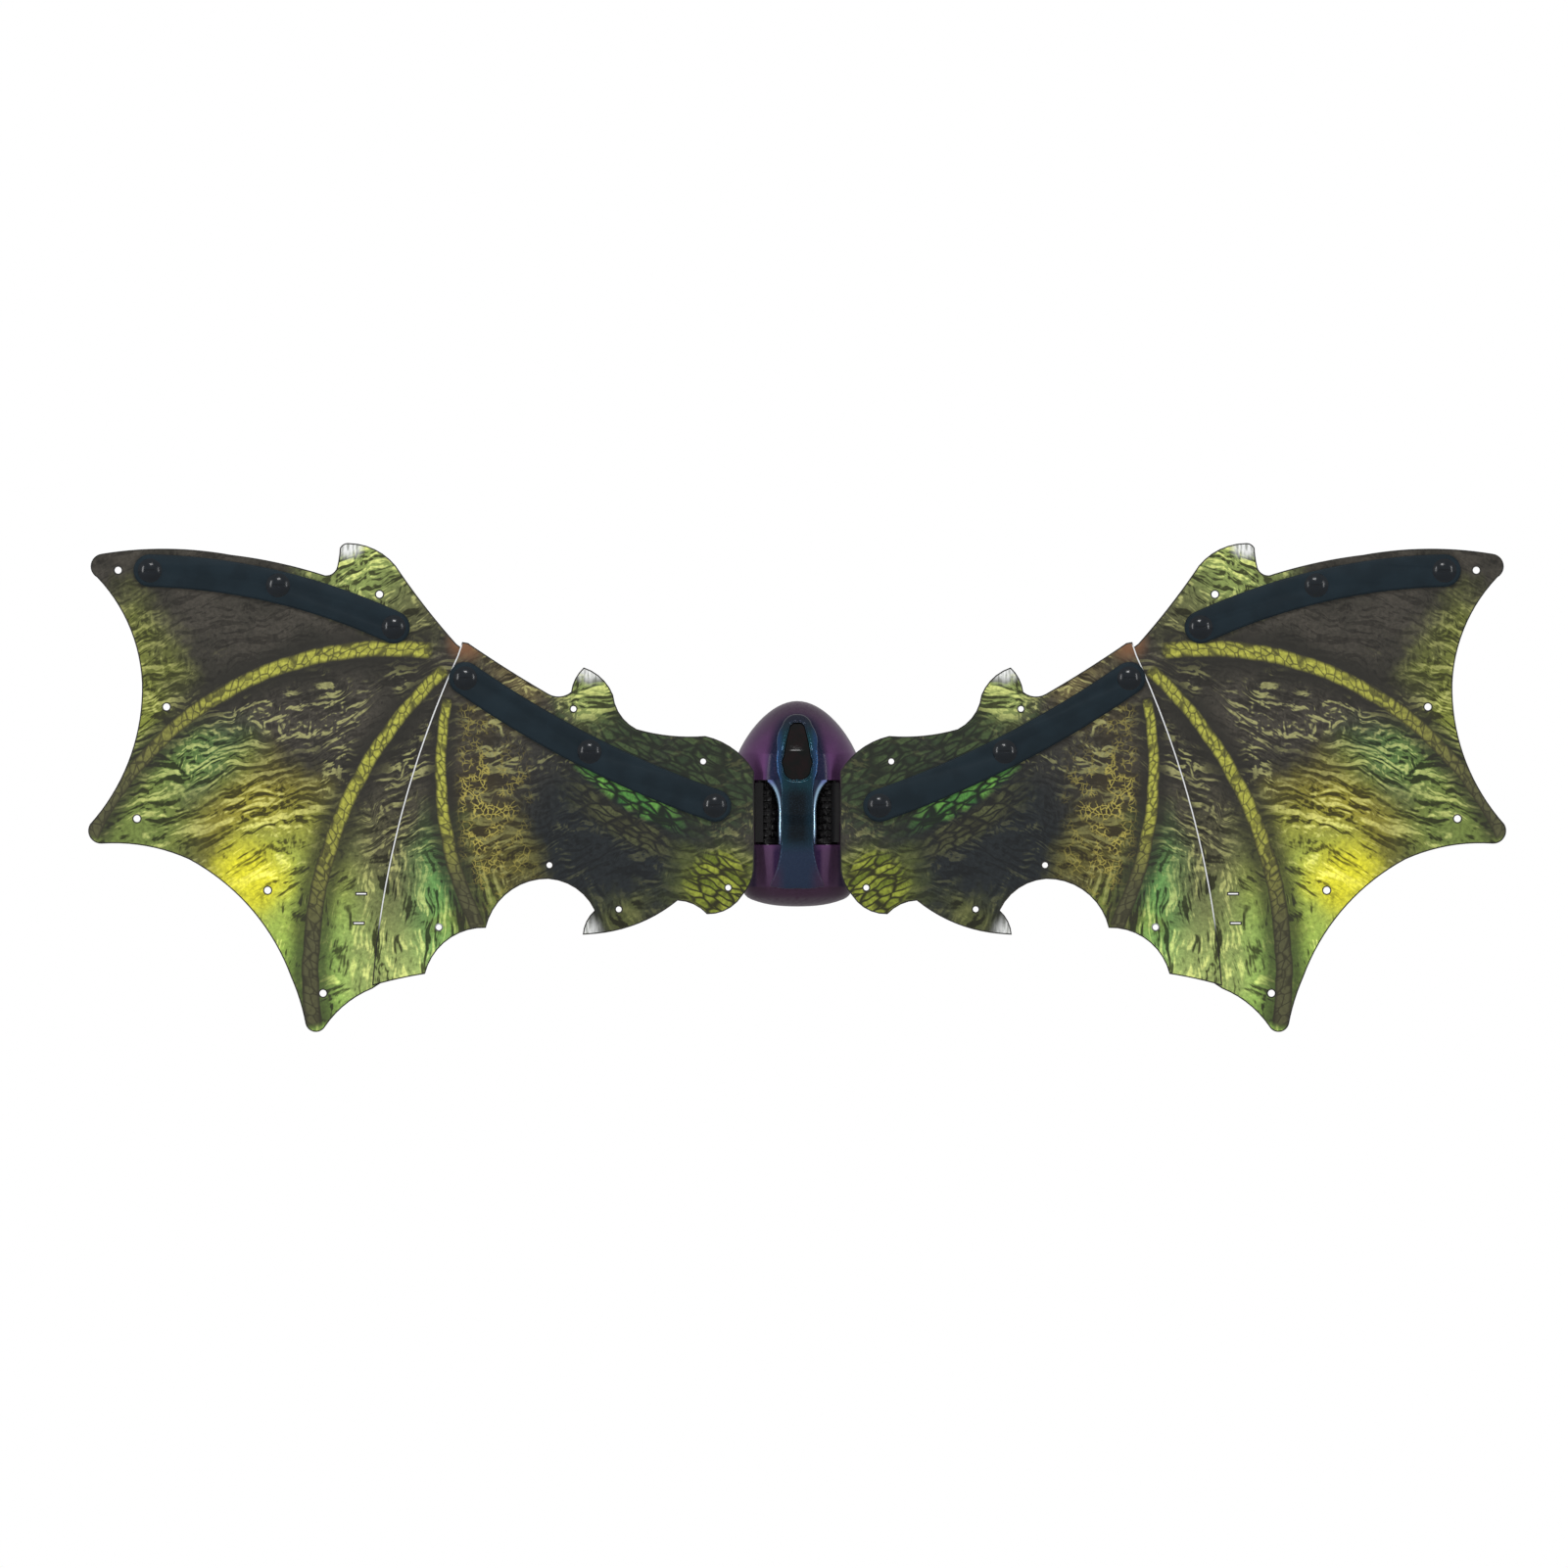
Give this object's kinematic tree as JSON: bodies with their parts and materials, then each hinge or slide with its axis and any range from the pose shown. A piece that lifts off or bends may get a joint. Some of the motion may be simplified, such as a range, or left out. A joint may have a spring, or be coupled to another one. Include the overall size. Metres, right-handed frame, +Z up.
{
  "type": "motorised membrane wings",
  "caption": "Pair of scalloped membrane wings on an egg-shaped motor pack; geared hinges flap them and each tip folds at the wrist.",
  "frame": {"origin": "centre of the pack's flat back face, at half the pack's height", "axes": "+X to the viewer's right along the span, +Y out of the flat back, +Z up; the printed fronts face -Y"},
  "size_m": [0.9122, 0.0512, 0.3145],
  "materials": {
    "back_plastic": "dark violet moulded shell, fine spark texture",
    "door_plastic": "dark violet moulded cover, fine spark texture",
    "shell_paint": "metallic violet colour-shift lacquer",
    "spine_paint": "metallic teal and blue colour-shift lacquer",
    "smoked_lens": "smoked clear window, polished",
    "led_resin": "clear epoxy",
    "board_green": "solder mask",
    "screw_steel": "zinc plated",
    "pin_steel": "ground",
    "contact_steel": "nickel plated",
    "cell_jacket": "printed film over a steel can",
    "switch_plastic": "moulded",
    "motor_metal": "plated can",
    "pinion_brass": "cut",
    "gear_acetal": "natural acetal",
    "gearbox_plastic": "moulded",
    "arm_plastic": "moulded, faint sheen",
    "wing_print": "printed film on semi-rigid sheet, satin gloss",
    "bar_plastic": "dark blue-green moulding, satin",
    "rivet_plastic": "black, polished",
    "cap_plastic": "moulded"
  },
  "bodies": {
    "pack": {"back_shell": "back_plastic", "battery_door": "door_plastic", "door_screw": "screw_steel", "aa_cells": "cell_jacket", "battery_contacts": "contact_steel", "front_shell": "shell_paint", "spine_cover": "spine_paint", "head_lens": "smoked_lens", "led": "led_resin", "led_board": "board_green", "shell_screws": "screw_steel", "switch_body": "switch_plastic", "circuit_board": "board_green", "motor_can": "motor_metal", "gearbox_frame": "gearbox_plastic", "gearbox_top_plate": "gearbox_plastic", "gear_axles": "pin_steel", "right_hinge_pin": "pin_steel", "left_hinge_pin": "pin_steel"},
    "right_wing": {"right_arm": "arm_plastic", "right_inner_sheet": "wing_print", "right_inner_bar": "bar_plastic", "right_inner_rivets": "rivet_plastic", "right_inner_caps": "cap_plastic"},
    "right_wing_tip": {"right_outer_sheet": "wing_print", "right_outer_bar": "bar_plastic", "right_outer_arm": "arm_plastic", "right_outer_rivets": "rivet_plastic", "right_outer_caps": "cap_plastic"},
    "left_wing": {"left_arm": "arm_plastic", "left_inner_sheet": "wing_print", "left_inner_bar": "bar_plastic", "left_inner_rivets": "rivet_plastic", "left_inner_caps": "cap_plastic"},
    "left_wing_tip": {"left_outer_sheet": "wing_print", "left_outer_bar": "bar_plastic", "left_outer_arm": "arm_plastic", "left_outer_rivets": "rivet_plastic", "left_outer_caps": "cap_plastic"},
    "right_idler_gear": {"right_idler": "gear_acetal"},
    "left_idler_gear": {"left_idler": "gear_acetal"},
    "second_gears": {"second_cluster": "gear_acetal"},
    "first_gears": {"first_cluster": "gear_acetal"},
    "motor_rotor": {"motor_pinion": "pinion_brass"},
    "switch": {"switch_slider": "switch_plastic"}
  },
  "joints": [
    {"name": "right_wing_flap", "type": "hinge", "parent": "pack", "child": "right_wing", "pos_m": [0.0189, -0.029, 0], "axis": [0, 0, 1], "range_deg": [-40, 20]},
    {"name": "left_wing_flap", "type": "hinge", "parent": "pack", "child": "left_wing", "pos_m": [-0.0189, -0.029, 0], "axis": [0, 0, 1], "range_deg": [-20, 40]},
    {"name": "right_wing_fold", "type": "hinge", "parent": "right_wing", "child": "right_wing_tip", "pos_m": [0.2136, -0.043, 0.0806], "axis": [0, 1, 0], "range_deg": [0, 60]},
    {"name": "left_wing_fold", "type": "hinge", "parent": "left_wing", "child": "left_wing_tip", "pos_m": [-0.2136, -0.043, 0.0806], "axis": [0, -1, 0], "range_deg": [0, 60]},
    {"name": "right_idler_spin", "type": "hinge", "parent": "pack", "child": "right_idler_gear", "pos_m": [0.0063, -0.029, 0.025], "axis": [0, 0, 1], "range_deg": [-21, 41]},
    {"name": "left_idler_spin", "type": "hinge", "parent": "pack", "child": "left_idler_gear", "pos_m": [-0.0063, -0.029, 0.025], "axis": [0, 0, 1], "range_deg": [-41, 21]},
    {"name": "second_cluster_spin", "type": "hinge", "parent": "pack", "child": "second_gears", "pos_m": [0.00297, -0.01984, 0.025], "axis": [0, 0, 1], "range_deg": [-135, 68]},
    {"name": "first_cluster_spin", "type": "hinge", "parent": "pack", "child": "first_gears", "pos_m": [-0.00497, -0.0255, 0.025], "axis": [0, 0, 1], "range_deg": [-224, 446]},
    {"name": "motor_spin", "type": "hinge", "parent": "pack", "child": "motor_rotor", "pos_m": [0, -0.033, 0.025], "axis": [0, 0, 1], "range_deg": [-1336, 670]},
    {"name": "power_switch", "type": "slide", "parent": "pack", "child": "switch", "axis": [1, 0, 0], "range_m": [0, 0.004]}
  ],
  "couplings": [
    {"joint": "left_wing_flap", "follows": "right_wing_flap", "ratio": -1},
    {"joint": "right_idler_spin", "follows": "right_wing_flap", "ratio": -1},
    {"joint": "left_idler_spin", "follows": "right_wing_flap", "ratio": 1},
    {"joint": "second_cluster_spin", "follows": "right_wing_flap", "ratio": 3.3333},
    {"joint": "first_cluster_spin", "follows": "right_wing_flap", "ratio": -11.111},
    {"joint": "motor_spin", "follows": "right_wing_flap", "ratio": 33.333}
  ]
}
